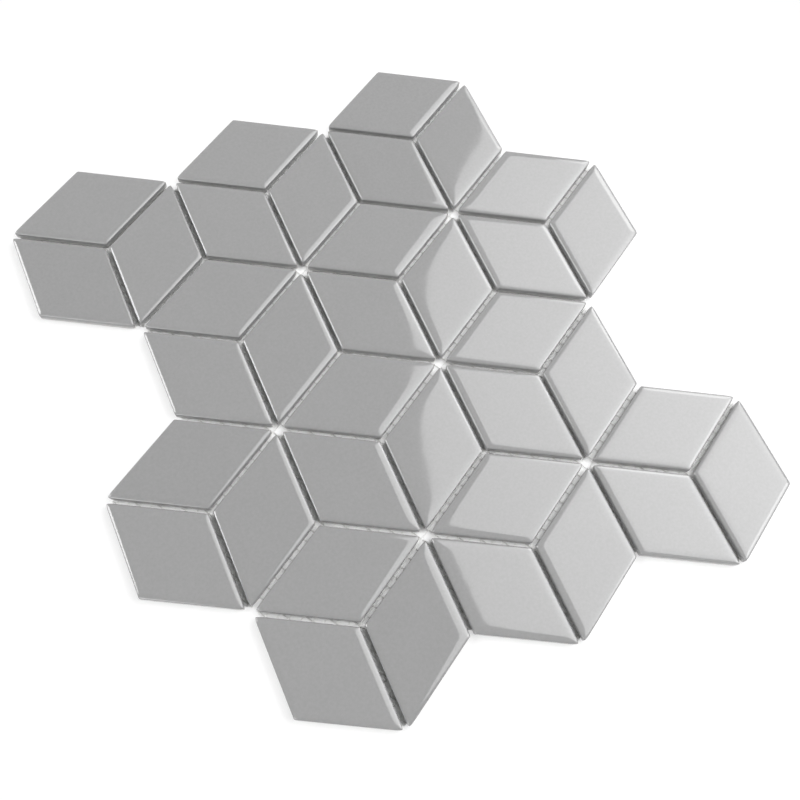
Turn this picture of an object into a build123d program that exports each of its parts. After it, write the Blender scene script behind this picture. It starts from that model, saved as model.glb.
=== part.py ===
from build123d import *
import math
import os

# A sheet of rhombus porcelain mosaic. Glazed rhombus tiles lie three to a cube, the cubes lie in
# staggered rows, and a glass-fibre net glued under the tiles holds them at an even joint.
# Millimetres, +Z up, glazed faces up. The origin is on the underside of the net, in the middle of
# the sheet. X runs along the rows of cubes and +Y points the way the cubes' top tiles point.

# Tile
tile_edge = 48.5        # side of the rhombus
tile_thickness = 5.0    # back of the tile to its glazed face
corner_round = 1.2      # plan radius of the four corners
glaze_round = 1.0       # round-over along the edges of the glazed face
back_bevel = 0.4        # bevel along the edges of the unglazed back

# Layout
joint = 2.2             # open joint between the sides of neighbouring tiles
rows = 4
cubes_per_row = 3

# Net
net_angle = 30.0        # degrees from X to the warp, which runs along one set of joints
warp_pitch = 4.7        # middle of one warp strand to the middle of the next
weft_pitch = 5.5        # the same for the weft, which crosses the warp squarely
strand_width = 0.8
warp_thickness = 0.4    # the tiles are glued to the warp
weft_thickness = 0.3    # the weft runs halfway up the warp
net_setback = 2.0       # strands end this far inside the tiles' outer sides
net_strips = 12         # the net is parted between warp strands into this many pieces

# What follows from the sizes above. A rhombus of 60 and 120 degrees is two equal triangles, and
# pitch_edge is the edge of the tiling that the middles of the joints draw.
pitch_edge = tile_edge + joint / math.sin(math.radians(60))
cube_width = 2 * pitch_edge * math.cos(math.radians(30))
row_step = 1.5 * pitch_edge
sheet_reach = (rows + cubes_per_row) * cube_width    # longer than the sheet, for cutting lines

# The tiles of a cube, anticlockwise from the one towards +Y, a third of a turn apart
tile_names = ("top", "left", "right")


def cube_centre(row, column):
    """Middle of a cube. Row 0 is the far row, and every second row steps half a cube to the right."""
    stagger = cube_width / 4 * (1 if row % 2 else -1)
    x = (column - (cubes_per_row - 1) / 2) * cube_width + stagger
    y = ((rows - 1) / 2 - row) * row_step
    return Vector(x, y)


def rhombus_tile():
    """One tile on Z = 0, its long diagonal along X, with rounded corners and a soft glazed edge."""
    half_long = tile_edge * math.cos(math.radians(30))
    half_short = tile_edge * math.sin(math.radians(30))
    plan = Polygon((half_long, 0), (0, half_short), (-half_long, 0), (0, -half_short))
    plan = fillet(plan.vertices(), corner_round)
    tile = extrude(plan, tile_thickness)
    tile = fillet(tile.faces().sort_by(Axis.Z)[-1].edges(), glaze_round)
    return chamfer(tile.faces().sort_by(Axis.Z)[0].edges(), back_bevel)


def tile_place(row, column, turn):
    """Where a tile of a cube lies on the net, half a tiling edge out from the cube's middle."""
    middle = cube_centre(row, column)
    around = Rot(0, 0, turn * 360 / len(tile_names))
    return Pos(middle.X, middle.Y, warp_thickness) * around * Pos(0, pitch_edge / 2)


def net_outline():
    """The cubes' hexagons joined and drawn in from the tiles' outer sides, with the warp along X."""
    cube = RegularPolygon(pitch_edge, 6, rotation=30)
    places = [cube_centre(row, column) for row in range(rows) for column in range(cubes_per_row)]
    joined = Sketch() + [Pos(place.X, place.Y) * cube for place in places]
    drawn_in = offset(joined, -(joint / 2 + net_setback), kind=Kind.INTERSECTION)
    return Rot(0, 0, -net_angle) * drawn_in


def strand_lines(low, high, pitch):
    """Coordinates of the strands between two limits. One strand of each set crosses the origin."""
    first = math.ceil(low / pitch)
    last = math.floor(high / pitch)
    return [index * pitch for index in range(first, last + 1)]


def strand_runs(outline, pitch, along_x):
    """For each strand's coordinate, the stretches (start, end) of its line inside the outline."""
    runs = {}
    for at in strand_lines(-sheet_reach, sheet_reach, pitch):
        if along_x:
            line = Edge.make_line((-sheet_reach, at), (sheet_reach, at))
        else:
            line = Edge.make_line((at, -sheet_reach), (at, sheet_reach))
        inside = line.intersect(outline.face())
        if inside:
            boxes = [piece.bounding_box() for piece in inside.edges()]
            runs[at] = [(b.min.X, b.max.X) if along_x else (b.min.Y, b.max.Y) for b in boxes]
    return runs


def net_strip(warp_runs, weft_runs, warp_lines):
    """One strip of the net: its warp strands, fused with the weft to halfway past the outer ones."""
    low = warp_lines[0] - warp_pitch / 2
    high = warp_lines[-1] + warp_pitch / 2
    height = warp_thickness / 2
    strands = []
    for y in warp_lines:
        for start, end in warp_runs[y]:
            warp = Box(end - start, strand_width, warp_thickness)
            strands.append(Pos((start + end) / 2, y, height) * warp)
    for x, runs in weft_runs.items():
        for start, end in runs:
            start, end = max(start, low), min(end, high)
            # A tail that reaches no warp strand is cut off.
            if strand_lines(start, end, warp_pitch):
                weft = Box(strand_width, end - start, weft_thickness)
                strands.append(Pos(x, (start + end) / 2, height) * weft)
    return Rot(0, 0, net_angle) * (Part() + strands)


def write_tiles():
    """Writes each tile to its own file."""
    tile = rhombus_tile()
    for row in range(rows):
        for column in range(cubes_per_row):
            for turn, name in enumerate(tile_names):
                laid = tile_place(row, column, turn) * tile
                path = f"parts/tile_row{row + 1}_cube{column + 1}_{name}.step"
                export_step(laid, path, write_pcurves=False)


def write_net():
    """Writes the net strip by strip, from the near right corner to the far left one."""
    outline = net_outline()
    warp_runs = strand_runs(outline, warp_pitch, along_x=True)
    weft_runs = strand_runs(outline, weft_pitch, along_x=False)
    lines = sorted(warp_runs)
    for strip in range(net_strips):
        first = strip * len(lines) // net_strips
        last = (strip + 1) * len(lines) // net_strips
        piece = net_strip(warp_runs, weft_runs, lines[first:last])
        export_step(piece, f"parts/net_strip{strip + 1}.step", write_pcurves=False)


os.makedirs("parts", exist_ok=True)
write_tiles()
write_net()
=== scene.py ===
"""Looks of a net-backed sheet of rhombus porcelain mosaic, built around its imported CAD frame.

Metres, +Z up. X runs along the rows of cubes and the origin is under the middle of the sheet.
"""

import logging
import math
import random
from dataclasses import dataclass
from enum import Enum
from typing import Any, Callable, Optional, Union

import bmesh
import bpy
from bmesh.types import BMesh
from mathutils import Matrix, Quaternion, Vector


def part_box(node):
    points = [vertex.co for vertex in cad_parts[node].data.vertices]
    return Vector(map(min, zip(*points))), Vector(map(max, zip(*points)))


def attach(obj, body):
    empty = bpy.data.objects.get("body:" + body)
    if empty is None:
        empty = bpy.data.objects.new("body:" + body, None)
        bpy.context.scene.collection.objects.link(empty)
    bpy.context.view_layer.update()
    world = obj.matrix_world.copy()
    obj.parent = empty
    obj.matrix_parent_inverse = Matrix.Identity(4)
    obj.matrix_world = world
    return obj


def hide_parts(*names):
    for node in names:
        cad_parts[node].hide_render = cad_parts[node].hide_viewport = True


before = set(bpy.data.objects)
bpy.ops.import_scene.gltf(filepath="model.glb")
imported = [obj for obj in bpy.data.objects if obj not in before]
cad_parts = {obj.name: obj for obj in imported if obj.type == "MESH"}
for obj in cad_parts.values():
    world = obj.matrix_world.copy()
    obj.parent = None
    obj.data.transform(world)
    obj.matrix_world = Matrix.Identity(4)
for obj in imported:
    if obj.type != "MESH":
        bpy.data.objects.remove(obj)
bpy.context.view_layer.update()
LOG = logging.getLogger("mosaic_sheet")
MM = 0.001
SIN_60 = math.sin(math.radians(60))
COS_60 = math.cos(math.radians(60))
NOISE_MIDDLE = 0.5
KILN_SEED = 36


class TileTurn(Enum):
    """How far each tile of a cube is turned from the one that points along +Y, in degrees."""

    TOP = 0
    LEFT = 120
    RIGHT = 240


class YarnRun(Enum):
    """The two ways that the net's yarns run, in degrees from X."""

    PAIR = 30
    CROSS = 120


class Socket:
    """An output socket whose arithmetic adds Math nodes to its tree."""

    def __init__(self, graph: "Graph", socket: bpy.types.NodeSocket) -> None:
        """Keeps the socket and the graph that it belongs to."""
        self.graph = graph
        self.socket = socket

    def math(self, operation: str, *values: Union["Socket", float]) -> "Socket":
        """Adds one Math node.

        Args:
            operation: the Math node's operation.
            values: its operands, sockets or numbers.

        Returns:
            The node's result.
        """
        return self.graph.add("ShaderNodeMath", {"operation": operation}, dict(enumerate(values)))

    def __add__(self, other: Union["Socket", float]) -> "Socket":
        """The sum."""
        return self.math("ADD", self, other)

    def __radd__(self, other: float) -> "Socket":
        """The sum with a number on the left."""
        return self.math("ADD", other, self)

    def __sub__(self, other: Union["Socket", float]) -> "Socket":
        """The difference."""
        return self.math("SUBTRACT", self, other)

    def __rsub__(self, other: float) -> "Socket":
        """The difference from a number."""
        return self.math("SUBTRACT", other, self)

    def __mul__(self, other: Union["Socket", float]) -> "Socket":
        """The product."""
        return self.math("MULTIPLY", self, other)

    def __rmul__(self, other: float) -> "Socket":
        """The product with a number on the left."""
        return self.math("MULTIPLY", other, self)

    def __or__(self, other: "Socket") -> "Socket":
        """The greater of two masks."""
        return self.math("MAXIMUM", self, other)

    def step(self, low: float, high: float) -> "Socket":
        """A smooth mask that rises from 0 at low to 1 at high."""
        limits = {"Value": self, "From Min": low, "From Max": high}
        return self.graph.add("ShaderNodeMapRange", {"interpolation_type": "SMOOTHSTEP"}, limits)


class Graph:
    """A node tree that is filled through one method."""

    def __init__(self, tree: bpy.types.NodeTree) -> None:
        """Takes the tree and empties it."""
        self.tree = tree
        tree.nodes.clear()

    def add(
        self,
        kind: str,
        settings: Optional[dict[str, Any]] = None,
        sockets: Optional[dict[Union[str, int], Any]] = None,
        output: Union[str, int] = 0,
    ) -> Socket:
        """Adds a node.

        Args:
            kind: the node's type.
            settings: its properties, which are set first.
            sockets: values or links of its inputs, by name or number.
            output: the output to return.

        Returns:
            The chosen output.
        """
        node = self.tree.nodes.new(kind)
        for name, value in (settings or {}).items():
            setattr(node, name, value)
        for name, value in (sockets or {}).items():
            if isinstance(value, Socket):
                self.tree.links.new(value.socket, node.inputs[name])
            else:
                node.inputs[name].default_value = value
        return Socket(self, node.outputs[output] if node.outputs else None)

    def mix(self, factor: Socket, low: Any, high: Any) -> Socket:
        """Mixes two colours.

        Args:
            factor: 0 for low and 1 for high.
            low: a colour or a socket.
            high: a colour or a socket.

        Returns:
            The mixed colour.
        """
        values = {"Factor": factor, 6: low, 7: high}
        return self.add("ShaderNodeMix", {"data_type": "RGBA"}, values, output=2)

    def noise(self, cells: float, detail: float = 2.0, along: float = 1.0, turn: float = 0.0) -> Socket:
        """Noise on the object's own coordinates.

        Args:
            cells: cells for each metre.
            detail: octaves of finer noise.
            along: share of those cells along the noise's own first axis, below 1 for streaks.
            turn: degrees from X to that axis.

        Returns:
            The noise, about 0 to 1.
        """
        spot = self.add("ShaderNodeTexCoord", output="Object")
        angle = (0.0, 0.0, math.radians(-turn))
        turned = self.add("ShaderNodeMapping", {}, {"Vector": spot, "Rotation": angle})
        scale = (cells * along, cells, cells)
        placed = self.add("ShaderNodeVectorMath", {"operation": "MULTIPLY"}, {0: turned, 1: scale})
        return self.add("ShaderNodeTexNoise", {}, {"Vector": placed, "Scale": 1.0, "Detail": detail})

    def swing(self, cells: float, detail: float = 2.0) -> Socket:
        """The same noise, about zero."""
        return self.noise(cells, detail) - NOISE_MIDDLE

    def white_rays(self) -> Socket:
        """1 for the rays that show the white background: those of the camera, gloss and glass."""
        paths = ["Is Camera Ray", "Is Glossy Ray", "Is Transmission Ray"]
        camera, gloss, glass = [self.add("ShaderNodeLightPath", output=name) for name in paths]
        return camera | gloss | glass


def new_material(name: str) -> tuple[bpy.types.Material, Graph]:
    """Makes an empty node material.

    Args:
        name: the material's name.

    Returns:
        The material and its graph.
    """
    material = bpy.data.materials.new(name)
    material.use_nodes = True
    return material, Graph(material.node_tree)


def grey(level: float) -> tuple[float, float, float, float]:
    """A neutral colour."""
    return (level, level, level, 1.0)


@dataclass(frozen=True)
class GlazedPorcelain:
    """Glossy grey glaze over a paler fired body, which is bare along the foot and on the back.

    The glaze lies between two tones by the shares below, and the rim share is a painted highlight that
    makes it paler towards the soft edges. It starts above the foot, along a line that creeps up and
    down, and is thin and paler up to a greater height.
    """

    glaze: float = 0.2135
    glaze_pale: float = 0.272
    body: tuple[float, float, float, float] = (0.50, 0.495, 0.485, 1.0)
    body_dark: float = 0.86
    middle_tone: float = 0.39
    firing_share: float = 0.22
    # Painted highlight: how much paler the glaze is painted towards the soft rim.
    rim_highlight_share: float = 0.1
    cloud_share: float = 0.15
    grain_share: float = 0.25
    speckle_share: float = 0.6
    cloud_cells: float = 55.0
    grain_cells: float = 1500.0
    speckle_cells: float = 700.0
    creep_cells: float = 240.0
    ripple_cells: float = 170.0
    glaze_roughness: float = 0.055
    grain_roughness: float = 0.03
    rim_roughness: float = 0.03
    body_roughness: float = 0.62
    refraction: float = 1.75
    foot_low: float = 0.9 * MM
    foot_high: float = 1.5 * MM
    thin_low: float = 1.0 * MM
    thin_high: float = 3.4 * MM
    creep: float = 0.9 * MM
    ripple_relief: float = 0.75
    body_relief: float = 0.6
    glaze_relief: float = 0.02
    relief_strength: float = 0.12
    relief_depth: float = 0.1 * MM

    def material(self) -> bpy.types.Material:
        """The finish as a material.

        Returns:
            The material.
        """
        material, graph = new_material("glazed_porcelain")
        spot = graph.add("ShaderNodeTexCoord", output="Object")
        height = graph.add("ShaderNodeSeparateXYZ", {}, {0: spot}, output="Z")
        fired = graph.add("ShaderNodeAttribute", {"attribute_name": "firing"}, output="Fac")
        rim = graph.add("ShaderNodeAttribute", {"attribute_name": "rim"}, output="Fac")
        cloud = graph.swing(self.cloud_cells, detail=1.0)
        speckle = graph.swing(self.speckle_cells, detail=1.0)
        grain = graph.noise(self.grain_cells, detail=3.0)
        grain_swing = grain - NOISE_MIDDLE
        level = height + graph.swing(self.creep_cells) * self.creep
        glazed = level.step(self.foot_low, self.foot_high)
        thick = level.step(self.thin_low, self.thin_high)
        mottle = self.cloud_share * cloud + self.grain_share * grain_swing + self.speckle_share * speckle
        # The rim share paints the glaze paler towards the soft edges, a painted highlight.
        tone = self.middle_tone + self.firing_share * fired + mottle + self.rim_highlight_share * rim
        glaze = graph.mix(tone, grey(self.glaze), grey(self.glaze_pale))
        dark = tuple(self.body_dark * part for part in self.body[:3]) + (1.0,)
        colour = graph.mix(thick, graph.mix(grain, self.body, dark), glaze)
        gloss = self.glaze_roughness + self.grain_roughness * grain_swing + self.rim_roughness * rim
        roughness = self.body_roughness + glazed * (gloss - self.body_roughness)
        ripple = self.ripple_relief * graph.noise(self.ripple_cells, detail=0.0)
        relief = ripple + (1.0 - glazed) * grain * self.body_relief + self.glaze_relief * grain
        bumped = {"Strength": self.relief_strength, "Distance": self.relief_depth, "Height": relief}
        normal = graph.add("ShaderNodeBump", {}, bumped)
        skin = {"Base Color": colour, "Roughness": roughness, "IOR": self.refraction, "Normal": normal}
        shader = graph.add("ShaderNodeBsdfPrincipled", {}, skin)
        graph.add("ShaderNodeOutputMaterial", {}, {"Surface": shader})
        return material


@dataclass(frozen=True)
class GlassYarn:
    """White resin-dressed glass-fibre yarn with streaks along its filaments and duller patches."""

    run: YarnRun
    bright: tuple[float, float, float, float] = (0.95, 0.95, 0.94, 1.0)
    dull: tuple[float, float, float, float] = (0.86, 0.86, 0.85, 1.0)
    streak_cells: float = 9000.0
    streak_along: float = 0.1
    patch_cells: float = 160.0
    patch_share: float = 0.6
    dull_below: float = 0.25
    bright_above: float = 0.75
    roughness: float = 0.42
    streak_roughness: float = 0.3
    refraction: float = 1.52
    relief_strength: float = 0.5
    relief_depth: float = 0.05 * MM

    def material(self) -> bpy.types.Material:
        """The finish as a material.

        Returns:
            The material.
        """
        material, graph = new_material(f"glass_yarn_{self.run.name.lower()}")
        streak = graph.noise(self.streak_cells, along=self.streak_along, turn=self.run.value)
        patched = streak + self.patch_share * graph.swing(self.patch_cells)
        colour = graph.mix(patched.step(self.dull_below, self.bright_above), self.dull, self.bright)
        bumped = {"Strength": self.relief_strength, "Distance": self.relief_depth, "Height": streak}
        normal = graph.add("ShaderNodeBump", {}, bumped)
        roughness = self.roughness + self.streak_roughness * streak
        skin = {"Base Color": colour, "Roughness": roughness, "IOR": self.refraction, "Normal": normal}
        shader = graph.add("ShaderNodeBsdfPrincipled", {}, skin)
        graph.add("ShaderNodeOutputMaterial", {}, {"Surface": shader})
        return material


@dataclass
class RhombusTile:
    """The pressed tile: a rhombus with a pillowed face, soft edges and a bevelled back.

    The cage has lines along the sides and is finished by a Subdivision Surface, which rounds it. The
    drops from two sides are blended by a power where they meet at a corner.
    """

    edge: float = 48.5 * MM
    thickness: float = 5.0 * MM
    rim_lines: tuple[float, ...] = (1.0 * MM, 1.9 * MM, 3.1 * MM, 5.0 * MM)
    pillow_drop: float = 0.8 * MM
    pillow_reach: float = 5.2 * MM
    pillow_power: float = 3.2
    corner_power: int = 4
    wall_heights: tuple[float, ...] = (3.2 * MM, 0.8 * MM, 0.0)
    back_inset: float = 1.0 * MM
    acute_round: float = 0.95 * MM
    acute_reach: float = 4.0 * MM
    levels: int = 2

    def pillow(self, distance: float) -> float:
        """How far the face lies below its middle at a distance from one side."""
        return self.pillow_drop * max(0.0, 1.0 - distance / self.pillow_reach) ** self.pillow_power

    def cage(self) -> BMesh:
        """The tile's cage on Z = 0, its long diagonal along X.

        Returns:
            A closed bmesh with a vertex attribute that is 1 at the rim and 0 on the flat.
        """
        bm = bmesh.new()
        half = len(self.rim_lines) + 1
        bmesh.ops.create_grid(bm, x_segments=2 * half, y_segments=2 * half, size=half)
        near_side = [0.0, *self.rim_lines, self.edge / 2 * SIN_60]
        rim = bm.verts.layers.float.new("rim")
        bm.verts.layers.float.new("firing")
        for vert in bm.verts:
            spot = []
            drops = []
            for steps in vert.co.xy:
                distance = near_side[half - round(abs(steps))]
                drops.append(self.pillow(distance))
                along = self.edge / 2 - distance / SIN_60
                spot.append(math.copysign(along, steps))
            drop = sum(part**self.corner_power for part in drops) ** (1 / self.corner_power)
            vert.co = (spot[0], spot[1], self.thickness - drop)
            vert[rim] = min(1.0, drop / self.pillow_drop)
        # The grid's two axes turn to the sides of the rhombus, 30 degrees to either side of X.
        slant = Matrix(((SIN_60, SIN_60, 0), (-COS_60, COS_60, 0), (0, 0, 1)))
        bmesh.ops.transform(bm, matrix=slant.to_4x4(), verts=bm.verts)
        self.add_walls(bm)
        tip = self.edge * SIN_60
        for vert in bm.verts:
            share = max(0.0, 1.0 - (tip - abs(vert.co.x)) / self.acute_reach)
            vert.co.x -= math.copysign(self.acute_round * share**2, vert.co.x)
        bmesh.ops.recalc_face_normals(bm, faces=bm.faces)
        for face in bm.faces:
            face.smooth = True
        return bm

    def add_walls(self, bm: BMesh) -> None:
        """Extrudes the rim down to the back and closes it.

        Args:
            bm: the cage's face.
        """
        ring = [edge for edge in bm.edges if edge.is_boundary]
        for height in self.wall_heights:
            made = bmesh.ops.extrude_edge_only(bm, edges=ring)["geom"]
            for vert in made:
                if isinstance(vert, bmesh.types.BMVert):
                    vert.co.z = height
            ring = [edge for edge in made if isinstance(edge, bmesh.types.BMEdge) and edge.is_boundary]
        back = bmesh.ops.contextual_create(bm, geom=ring)["faces"]
        bmesh.ops.inset_individual(bm, faces=back, thickness=self.back_inset, use_even_offset=True)

    def press(self) -> bpy.types.Mesh:
        """Rounds the cage with a Subdivision Surface.

        Returns:
            The tile's finished mesh.
        """
        bm = self.cage()
        mesh = bpy.data.meshes.new("tile_cage")
        bm.to_mesh(mesh)
        bm.free()
        mould = bpy.data.objects.new("tile_mould", mesh)
        bpy.context.scene.collection.objects.link(mould)
        smooth = mould.modifiers.new("pressed_edges", "SUBSURF")
        smooth.levels = self.levels
        smooth.render_levels = self.levels
        shaped = mould.evaluated_get(bpy.context.evaluated_depsgraph_get())
        pressed = bpy.data.meshes.new_from_object(shaped)
        bpy.data.objects.remove(mould)
        bpy.data.meshes.remove(mesh)
        return pressed

    def lay(
        self, pressed: bpy.types.Mesh, node: str, firing: float, finish: bpy.types.Material
    ) -> bpy.types.Object:
        """Lays one tile where its CAD node is.

        Args:
            pressed: the tile's finished mesh.
            node: the CAD node, whose name ends in the tile's turn.
            firing: how pale the tile came out of the kiln, 0 to 1.
            finish: the tile's material.

        Returns:
            The laid tile.
        """
        low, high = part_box(node)
        turn = TileTurn[node.rsplit("_", 1)[1].upper()]
        middle = Vector(((low.x + high.x) / 2, (low.y + high.y) / 2, low.z))
        mesh = pressed.copy()
        mesh.name = node.replace("tile", "glazed", 1)
        mesh.attributes["firing"].data.foreach_set("value", [firing] * len(mesh.vertices))
        mesh.transform(Matrix.Translation(middle) @ Matrix.Rotation(math.radians(turn.value), 4, "Z"))
        mesh.materials.append(finish)
        tile = bpy.data.objects.new(mesh.name, mesh)
        bpy.context.scene.collection.objects.link(tile)
        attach(tile, "root")
        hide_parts(node)
        return tile


@dataclass
class MosaicNet:
    """The net under the tiles: pairs of warp yarns, one straight and one zigzag, round cross yarns.

    The straight yarn leans away from the zigzag one by a share of its swing.
    """

    pair_pitch: float = 4.7 * MM
    cross_pitch: float = 5.5 * MM
    tile_edge: float = 48.5 * MM
    joint: float = 2.2 * MM
    setback: float = 2.0 * MM
    thickness: float = 0.4 * MM
    yarn_width: float = 0.42 * MM
    yarn_thickness: float = 0.13 * MM
    cross_width: float = 0.6 * MM
    zigzag: float = 0.2 * MM
    lean: float = 0.6
    sides: int = 6
    straight_pieces: int = 2
    zigzag_pieces: int = 4
    cube_merge: float = 0.2 * MM
    seam_merge: float = 0.001 * MM
    pair_yarn: GlassYarn = GlassYarn(YarnRun.PAIR)
    # The cross yarns are greyer than the pairs, so they show as darker marks across the joints.
    cross_yarn: GlassYarn = GlassYarn(
        YarnRun.CROSS, bright=(0.80, 0.80, 0.79, 1.0), dull=(0.62, 0.62, 0.61, 1.0)
    )

    def outline(self, cubes: list[Vector]) -> list[Vector]:
        """The edge of the net: the cubes' hexagons joined and drawn in from the tiles' outer sides.

        Args:
            cubes: the middles of the cubes.

        Returns:
            The corners in order, turned so that the pairs run along X.
        """
        bm = bmesh.new()
        reach = self.tile_edge + self.joint / SIN_60
        for cube in cubes:
            place = Matrix.Translation((cube.x, cube.y, 0.0))
            made = bmesh.ops.create_circle(bm, cap_ends=True, segments=6, radius=reach, matrix=place)
            first = made["verts"][0].co - Vector((cube.x, cube.y, 0.0))
            up = Matrix.Rotation(math.radians(90) - math.atan2(first.y, first.x), 3, "Z")
            bmesh.ops.rotate(bm, verts=made["verts"], cent=(cube.x, cube.y, 0.0), matrix=up)
        bmesh.ops.remove_doubles(bm, verts=bm.verts, dist=self.cube_merge)
        joined = bmesh.ops.dissolve_faces(bm, faces=bm.faces, use_verts=False)["region"]
        inward = self.joint / 2 + self.setback
        bmesh.ops.inset_individual(bm, faces=joined, thickness=inward, use_even_offset=True)
        turned = Matrix.Rotation(math.radians(-YarnRun.PAIR.value), 3, "Z")
        corners = [turned @ vert.co for vert in joined[0].verts]
        bm.free()
        return corners

    @staticmethod
    def runs(corners: list[Vector], level: float, across: int) -> list[tuple[float, float]]:
        """The stretches of a straight line inside the outline.

        Args:
            corners: the outline.
            level: the line's place on the axis that it crosses.
            across: that axis, 0 or 1.

        Returns:
            Starts and ends along the other axis.
        """
        met = []
        for one, two in zip(corners, corners[1:] + corners[:1]):
            if (one[across] > level) != (two[across] > level):
                share = (level - one[across]) / (two[across] - one[across])
                met.append(one[1 - across] + share * (two[1 - across] - one[1 - across]))
        met.sort()
        return list(zip(met[::2], met[1::2]))

    @staticmethod
    def levels(low: float, high: float, pitch: float) -> list[float]:
        """The places of a set of yarns between two limits.

        Args:
            low: the lower limit.
            high: the upper limit.
            pitch: from one yarn to the next. One of them crosses the origin.

        Returns:
            The places, from low to high.
        """
        first = math.ceil(low / pitch)
        last = math.floor(high / pitch)
        return [index * pitch for index in range(first, last + 1)]

    def yarn(
        self,
        bm: BMesh,
        run: YarnRun,
        stretch: tuple[float, float],
        width: float,
        pieces: int,
        form: Callable[[float], tuple[float, float]],
    ) -> None:
        """Adds one flat yarn: a grid rolled into a tube, bent to its form and turned to its run.

        Args:
            bm: the strip's mesh.
            run: the way that the yarn runs.
            stretch: its start and end along that way.
            width: its width.
            pieces: lengths that it is divided into.
            form: its place across and its height at a point along it.
        """
        start, end = stretch
        sides = self.sides
        verts = bmesh.ops.create_grid(bm, x_segments=pieces, y_segments=sides, size=1.0)["verts"]
        for vert in verts:
            along = start + (end - start) * (vert.co.x + 1.0) / 2
            turn = math.pi * (vert.co.y + 1.0)
            across, height = form(along)
            across += width / 2 * math.cos(turn)
            vert.co = (along, across, height + self.yarn_thickness / 2 * math.sin(turn))
        turned = Matrix.Rotation(math.radians(run.value), 3, "Z")
        bmesh.ops.rotate(bm, verts=verts, cent=(0, 0, 0), matrix=turned)
        for face in {face for vert in verts for face in vert.link_faces}:
            face.material_index = list(YarnRun).index(run)
            face.smooth = True

    def pair(self, bm: BMesh, level: float, stretch: tuple[float, float]) -> None:
        """Adds a straight yarn under the cross yarns and a zigzag one that binds them from above.

        Args:
            bm: the strip's mesh.
            level: where the pair lies across its run.
            stretch: its start and end.
        """
        half = self.yarn_thickness / 2
        middle = self.thickness / 2
        rise = middle - half

        def straight(along: float) -> tuple[float, float]:
            """The straight yarn leans away from the zigzag one and stays low."""
            swing = math.cos(math.pi * along / self.cross_pitch)
            return level - self.lean * self.zigzag * swing, half

        def bound(along: float) -> tuple[float, float]:
            """The zigzag yarn changes sides between cross yarns and passes over each of them."""
            swing = math.cos(math.pi * along / self.cross_pitch)
            lift = math.cos(2 * math.pi * along / self.cross_pitch)
            return level + self.zigzag * swing, middle + rise * lift

        cells = max(1, round((stretch[1] - stretch[0]) / self.cross_pitch))
        self.yarn(bm, YarnRun.PAIR, stretch, self.yarn_width, self.straight_pieces * cells, straight)
        self.yarn(bm, YarnRun.PAIR, stretch, self.yarn_width, self.zigzag_pieces * cells, bound)

    def cross(self, bm: BMesh, level: float, stretch: tuple[float, float]) -> None:
        """Adds a cross yarn, which lies between the yarns of each pair.

        Args:
            bm: the strip's mesh.
            level: where the yarn lies along the pairs.
            stretch: its start and end.
        """

        def between(along: float) -> tuple[float, float]:
            """The cross yarn is straight, halfway up the net."""
            return -level, self.thickness / 2

        cells = max(1, round((stretch[1] - stretch[0]) / self.pair_pitch))
        self.yarn(bm, YarnRun.CROSS, stretch, self.cross_width, cells, between)

    def weave(
        self, node: str, corners: list[Vector], finishes: list[bpy.types.Material]
    ) -> bpy.types.Object:
        """Weaves the yarns of one CAD strip.

        Args:
            node: the strip's node.
            corners: the net's outline.
            finishes: materials for the pairs and the cross yarns.

        Returns:
            The woven strip.
        """
        turned = Matrix.Rotation(math.radians(-YarnRun.PAIR.value), 3, "Z")
        spots = [turned @ vert.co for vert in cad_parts[node].data.vertices]
        low = min(spot.y for spot in spots)
        high = max(spot.y for spot in spots)
        left = min(spot.x for spot in spots)
        right = max(spot.x for spot in spots)
        bm = bmesh.new()
        for level in self.levels(low, high, self.pair_pitch):
            for stretch in self.runs(corners, level, across=1):
                self.pair(bm, level, stretch)
        for level in self.levels(left, right, self.cross_pitch):
            for start, end in self.runs(corners, level, across=0):
                start, end = max(start, low), min(end, high)
                if end - start > self.cross_width:
                    self.cross(bm, level, (start, end))
        bmesh.ops.remove_doubles(bm, verts=bm.verts, dist=self.seam_merge)
        ends = [edge for edge in bm.edges if edge.is_boundary]
        bmesh.ops.holes_fill(bm, edges=ends, sides=0)
        bmesh.ops.recalc_face_normals(bm, faces=bm.faces)
        mesh = bpy.data.meshes.new(node.replace("net", "yarns", 1))
        bm.to_mesh(mesh)
        bm.free()
        for finish in finishes:
            mesh.materials.append(finish)
        strip = bpy.data.objects.new(mesh.name, mesh)
        bpy.context.scene.collection.objects.link(strip)
        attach(strip, "root")
        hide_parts(node)
        return strip


@dataclass(frozen=True)
class Softbox:
    """A round studio light.

    Its luminance rises towards its middle by centre_gain, of which half is left at centre_half of the
    way out to its rim.
    """

    name: str
    centre: tuple[float, float, float]
    aim: tuple[float, float, float]
    radius: float
    luminance: float
    centre_gain: float = 0.0
    centre_half: float = 0.72

    def hang(self) -> bpy.types.Object:
        """Makes the lamp.

        Returns:
            The lamp.
        """
        lamp = bpy.data.lights.new(self.name, "AREA")
        lamp.shape = "DISK"
        lamp.size = 2 * self.radius
        lamp.energy = self.luminance * 4 * math.pi * self.radius**2
        lamp.use_nodes = True
        graph = Graph(lamp.node_tree)
        face = graph.add("ShaderNodeNewGeometry", output="Parametric")
        # Parametric runs from 0 to 1 across the lamp, so its middle is at a half.
        ends = {0: face, 1: (0.5, 0.5, 0.0)}
        out = 2.0 * graph.add("ShaderNodeVectorMath", {"operation": "DISTANCE"}, ends, output="Value")
        fall = (out * out) * (1.0 / self.centre_half**2)
        strength = 1.0 + self.centre_gain * fall.math("POWER", 0.5, fall)
        glow = graph.add("ShaderNodeEmission", {}, {"Color": grey(1.0), "Strength": strength})
        graph.add("ShaderNodeOutputLight", {}, {"Surface": glow})
        stand = bpy.data.objects.new(self.name, lamp)
        stand.location = self.centre
        stand.rotation_mode = "QUATERNION"
        stand.rotation_quaternion = (Vector(self.aim) - Vector(self.centre)).to_track_quat("-Z", "Y")
        stand.visible_camera = False
        bpy.context.scene.collection.objects.link(stand)
        return stand


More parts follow.
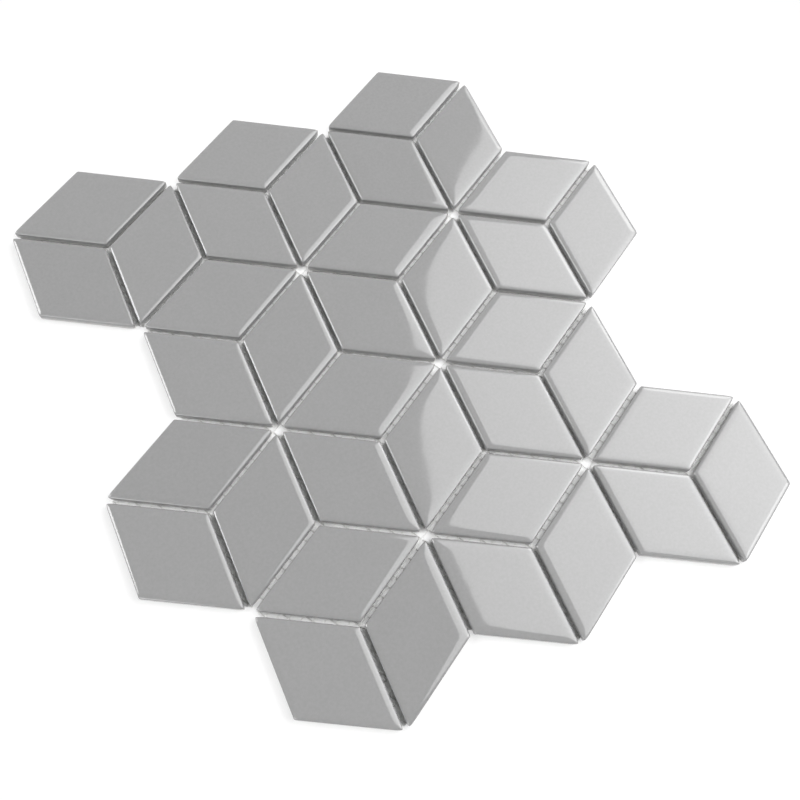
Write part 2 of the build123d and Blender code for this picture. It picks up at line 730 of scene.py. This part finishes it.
@dataclass
class Studio:
    """The floor, the lights, the world and the camera."""

    floor_reach: float = 6.0
    floor_gap: float = 0.05 * MM
    floor_tone: float = 0.97
    floor_glow: float = 0.55
    shade_near: float = 0.17
    shade_far: float = 0.36
    world_light: float = 0.1
    key: Softbox = Softbox(
        "key_softbox",
        (1.447, -0.106, 1.305),
        (1.447, -0.106, 0.0),
        radius=1.248,
        luminance=1.1,
        centre_gain=2.2,
    )
    fill: Softbox = Softbox(
        "fill_softbox", (-2.99, 1.727, 2.1), (0.0, 0.0, 0.0), radius=1.2, luminance=5.2
    )
    front: Softbox = Softbox(
        "front_softbox", (-1.6, -0.92, 0.95), (0.0, 0.0, 0.0), radius=0.6, luminance=3.0
    )
    right_front: Softbox = Softbox(
        "right_front_softbox", (1.99, -1.15, 1.55), (0.0, 0.0, 0.0), radius=0.7, luminance=2.1
    )
    right_back: Softbox = Softbox(
        "right_back_softbox", (1.99, 1.15, 1.55), (0.0, 0.0, 0.0), radius=0.7, luminance=2.1
    )
    eye: tuple[float, float, float] = (-0.08486, -0.14460, 0.40370)
    look: tuple[float, float, float] = (-0.00562, -0.02357, 0.00553)
    roll: float = 9.233
    lens: float = 38.42
    sensor: float = 36.0
    clip_start: float = 0.01

    def lay_floor(self, corners: list[Vector]) -> None:
        """Lays the pale floor: plain white far out, shaded a little round the sheet and fully under it.

        Args:
            corners: the net's outline, within which the floor is a plain matte face.
        """
        bm = bmesh.new()
        bmesh.ops.create_grid(bm, x_segments=1, y_segments=1, size=self.floor_reach)
        self.spread(bm, "floor", -2 * self.floor_gap, self.floor_finish())
        bm = bmesh.new()
        ring = [bm.verts.new(corner) for corner in corners]
        sides = [bm.edges.new(ends) for ends in zip(ring, ring[1:] + ring[:1])]
        bmesh.ops.contextual_create(bm, geom=sides)
        turned = Matrix.Rotation(math.radians(YarnRun.PAIR.value), 3, "Z")
        bmesh.ops.rotate(bm, verts=bm.verts, cent=(0, 0, 0), matrix=turned)
        self.spread(bm, "floor_under_sheet", -self.floor_gap, self.shade_finish())

    @staticmethod
    def spread(bm: BMesh, name: str, height: float, finish: bpy.types.Material) -> None:
        """Puts a face of the floor in the scene.

        Args:
            bm: the face, which is freed.
            name: its name.
            height: its height.
            finish: its material.
        """
        bmesh.ops.translate(bm, verts=bm.verts, vec=(0.0, 0.0, height))
        mesh = bpy.data.meshes.new(name)
        bm.to_mesh(mesh)
        bm.free()
        mesh.materials.append(finish)
        face = bpy.data.objects.new(name, mesh)
        bpy.context.scene.collection.objects.link(face)

    def floor_finish(self) -> bpy.types.Material:
        """White that keeps a light shade near the sheet and none farther out.

        Returns:
            The material.
        """
        material, graph = new_material("floor_white")
        spot = graph.add("ShaderNodeTexCoord", output="Object")
        reach = graph.add("ShaderNodeVectorMath", {"operation": "LENGTH"}, {0: spot}, output="Value")
        matte = graph.add("ShaderNodeBsdfDiffuse", {}, {"Color": grey(self.floor_tone)})
        white = graph.add("ShaderNodeEmission", {}, {"Color": grey(1.0)})
        far = self.floor_glow + (1.0 - self.floor_glow) * reach.step(self.shade_near, self.shade_far)
        shader = graph.add("ShaderNodeMixShader", {}, {0: graph.white_rays() * far, 1: matte, 2: white})
        graph.add("ShaderNodeOutputMaterial", {}, {"Surface": shader})
        return material

    def shade_finish(self) -> bpy.types.Material:
        """The same white without glow, for the floor that shows in the joints.

        Returns:
            The material.
        """
        material, graph = new_material("floor_shade")
        matte = graph.add("ShaderNodeBsdfDiffuse", {}, {"Color": grey(self.floor_tone)})
        graph.add("ShaderNodeOutputMaterial", {}, {"Surface": matte})
        return material

    def light(self) -> None:
        """Hangs the softboxes and sets a dim world that the camera sees as white."""
        for softbox in (self.key, self.fill, self.front, self.right_front, self.right_back):
            softbox.hang()
        world = bpy.data.worlds.new("studio")
        world.use_nodes = True
        bpy.context.scene.world = world
        graph = Graph(world.node_tree)
        strength = self.world_light + (1.0 - self.world_light) * graph.white_rays()
        sky = graph.add("ShaderNodeBackground", {}, {"Color": grey(1.0), "Strength": strength})
        graph.add("ShaderNodeOutputWorld", {}, {"Surface": sky})

    def stand_camera(self) -> None:
        """Stands the camera where the photograph was taken from."""
        camera = bpy.data.objects.new("camera", bpy.data.cameras.new("camera"))
        camera.data.lens = self.lens
        camera.data.sensor_width = self.sensor
        camera.data.clip_start = self.clip_start
        camera.location = self.eye
        level = (Vector(self.look) - Vector(self.eye)).to_track_quat("-Z", "Y")
        camera.rotation_mode = "QUATERNION"
        camera.rotation_quaternion = level @ Quaternion((0.0, 0.0, 1.0), math.radians(self.roll))
        bpy.context.scene.collection.objects.link(camera)
        bpy.context.scene.camera = camera
        bpy.context.scene.view_settings.view_transform = "Standard"


def cube_middles(tiles: list[str]) -> list[Vector]:
    """The middles of the cubes, from the boxes of their three tiles.

    Args:
        tiles: the tiles' nodes.

    Returns:
        One point for each cube.
    """
    found: dict[str, Vector] = {}
    for node in tiles:
        low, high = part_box(node)
        cube = node.rsplit("_", 1)[0]
        found[cube] = found.get(cube, Vector()) + (low + high) / 2 / len(TileTurn)
    return list(found.values())


def main() -> None:
    """Builds the tiles, the net and the studio, and reports each piece."""
    logging.basicConfig(level=logging.INFO)
    tiles = sorted(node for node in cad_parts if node.startswith("tile_"))
    strips = sorted(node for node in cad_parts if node.startswith("net_"))
    kiln = random.Random(KILN_SEED)
    tile = RhombusTile()
    pressed = tile.press()
    glaze = GlazedPorcelain().material()
    for node in tiles:
        laid = tile.lay(pressed, node, kiln.random(), glaze)
        LOG.info("tile %s: %d faces", laid.name, len(laid.data.polygons))
    bpy.data.meshes.remove(pressed)
    net = MosaicNet()
    corners = net.outline(cube_middles(tiles))
    finishes = [yarn.material() for yarn in (net.pair_yarn, net.cross_yarn)]
    for node in strips:
        woven = net.weave(node, corners, finishes)
        LOG.info("net %s: %d faces", woven.name, len(woven.data.polygons))
    studio = Studio()
    studio.lay_floor(corners)
    studio.light()
    studio.stand_camera()


if __name__ == "__main__":
    main()
